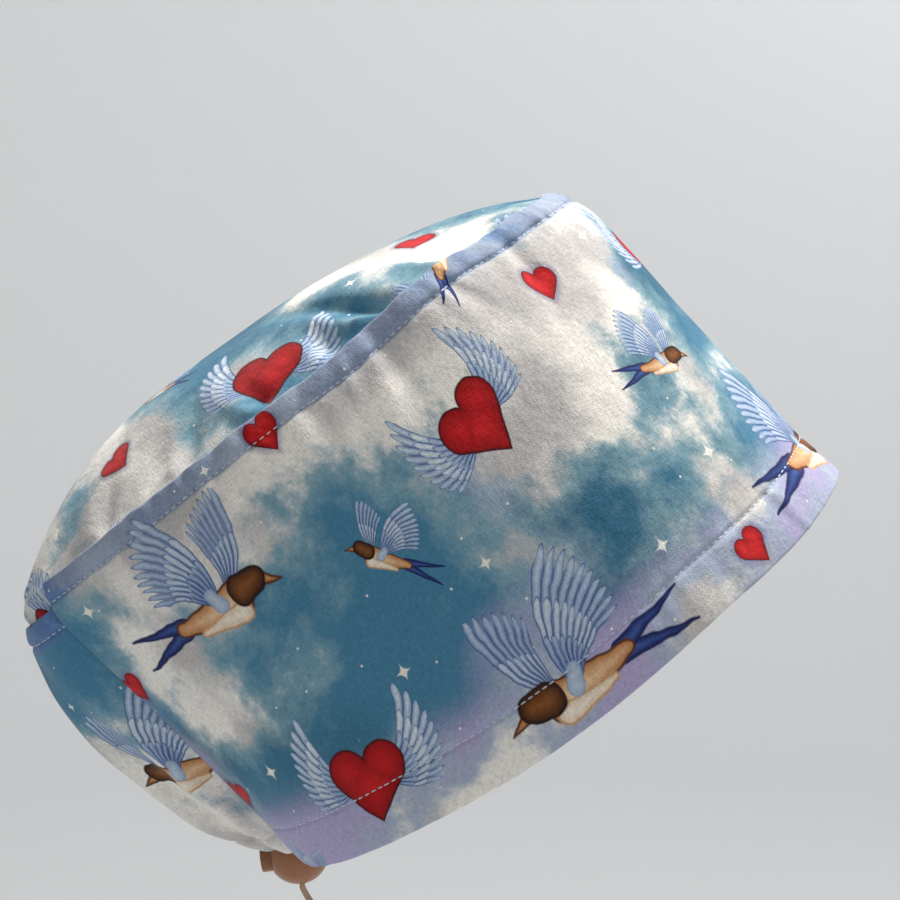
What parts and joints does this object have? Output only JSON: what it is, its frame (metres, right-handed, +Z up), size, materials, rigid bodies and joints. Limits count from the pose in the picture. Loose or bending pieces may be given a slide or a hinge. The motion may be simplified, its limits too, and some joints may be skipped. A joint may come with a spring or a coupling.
{
  "type": "scrub cap",
  "caption": "Cloth scrub cap in its worn form: deep hemmed band, domed crown, back panel gathered to the nape, and a drawcord through a sprung ball cord lock.",
  "frame": {"origin": "the middle of the crown's inner face, where the head that wears the cap bears on it", "axes": "+Z up on an upright head, -Y towards the wearer's face, +Y towards the nape, -X the wearer's right side"},
  "size_m": [0.1649, 0.2519, 0.2552],
  "materials": {
    "printed_cotton": "matt, printed",
    "cord": "satin",
    "cord_lock": "satin"
  },
  "bodies": {
    "cap": {"side_band": "printed_cotton", "crown": "printed_cotton", "back_panel": "printed_cotton", "cord_feed_right": "cord", "cord_feed_left": "cord", "cord_tail_right": "cord", "cord_tail_left": "cord", "cord_lock_body": "cord_lock", "cord_knot": "cord"},
    "button": {"cord_lock_button": "cord_lock"}
  },
  "joints": [
    {"name": "button_press", "type": "slide", "parent": "cap", "child": "button", "axis": [0, -0.9903, 0.1392], "range_m": [0, 0.003], "stiffness_N_per_m": 150}
  ]
}
